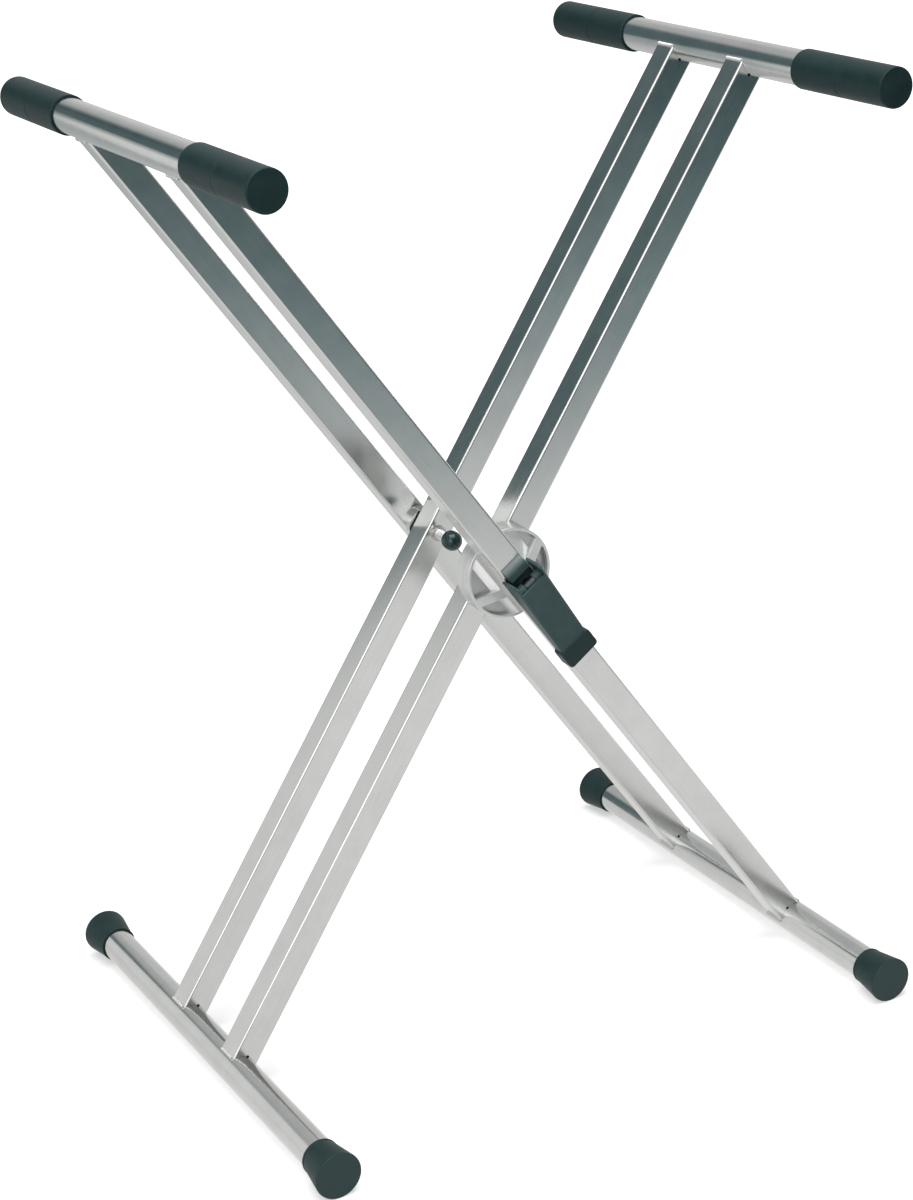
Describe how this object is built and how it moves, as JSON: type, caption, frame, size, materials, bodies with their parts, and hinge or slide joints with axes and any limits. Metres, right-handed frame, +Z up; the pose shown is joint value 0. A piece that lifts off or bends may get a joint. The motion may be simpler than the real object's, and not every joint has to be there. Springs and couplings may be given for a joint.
{
  "type": "folding keyboard stand",
  "caption": "Double-braced X stand for a keyboard: steel frames cross on a toothed disc clutch with a cam lever, with rounded top rails, black grips and flared foot caps.",
  "frame": {"origin": "on the floor, at the middle of the stand's footprint", "axes": "+Z up, Y along the rails and the pivot line with the clamp lever at -Y, X across the spread of the feet; the outer frame's top is at -X"},
  "size_m": [0.6026, 0.5, 0.8443],
  "materials": {
    "plated_steel": "bright smooth plating",
    "cast_metal": "satin cast metal",
    "bolt_steel": "smooth steel",
    "bush_brass": "dull bearing metal, hidden in the leg",
    "black_plastic": "matte black plastic",
    "grip_rubber": "matte black rubber",
    "lever_plastic": "satin near-black plastic",
    "knob_plastic": "glossy black plastic"
  },
  "bodies": {
    "outer_frame": {"outer_leg_front": "plated_steel", "outer_leg_rear": "plated_steel", "outer_top_rail": "plated_steel", "outer_foot_rail": "plated_steel", "outer_welds": "plated_steel", "outer_grip_front": "grip_rubber", "outer_grip_rear": "grip_rubber", "outer_cap_front": "black_plastic", "outer_cap_rear": "black_plastic", "outer_foot_front": "black_plastic", "outer_foot_rear": "black_plastic", "outer_clamp_disc": "cast_metal", "lever_saddle": "black_plastic", "rear_pivot_bolt": "bolt_steel", "rear_bolt_washer": "bolt_steel", "rear_pivot_spacer": "bolt_steel", "ball_knob": "knob_plastic", "release_spring": "bolt_steel"},
    "draw_bolt": {"clamp_bolt": "bolt_steel", "clamp_washer": "bolt_steel", "clamp_nut": "bolt_steel"},
    "cam_lever": {"clamp_lever": "lever_plastic", "lever_pin": "bolt_steel"},
    "inner_frame": {"inner_leg_front": "plated_steel", "inner_leg_rear": "plated_steel", "inner_top_rail": "plated_steel", "inner_foot_rail": "plated_steel", "inner_welds": "plated_steel", "inner_grip_front": "grip_rubber", "inner_grip_rear": "grip_rubber", "inner_cap_front": "black_plastic", "inner_cap_rear": "black_plastic", "inner_foot_front": "black_plastic", "inner_foot_rear": "black_plastic", "inner_clamp_disc": "cast_metal", "front_pivot_bush": "bush_brass", "rear_pivot_bush": "bolt_steel"}
  },
  "joints": [
    {"name": "clamp_release", "type": "slide", "parent": "outer_frame", "child": "draw_bolt", "axis": [0, 1, 0], "range_m": [0, 0.0012], "deforming": ["release_spring"]},
    {"name": "lever_swing", "type": "hinge", "parent": "draw_bolt", "child": "cam_lever", "pos_m": [0, -0.11495, 0.42738], "axis": [-0.8231, 0, -0.5678], "range_deg": [0, 95]},
    {"name": "fold", "type": "hinge", "parent": "draw_bolt", "child": "inner_frame", "pos_m": [0, 0, 0.42738], "axis": [0, 1, 0], "range_deg": [-63, 40]}
  ],
  "couplings": [
    {"joint": "lever_swing", "follows": "clamp_release", "rad_per_m": 1381.7}
  ]
}
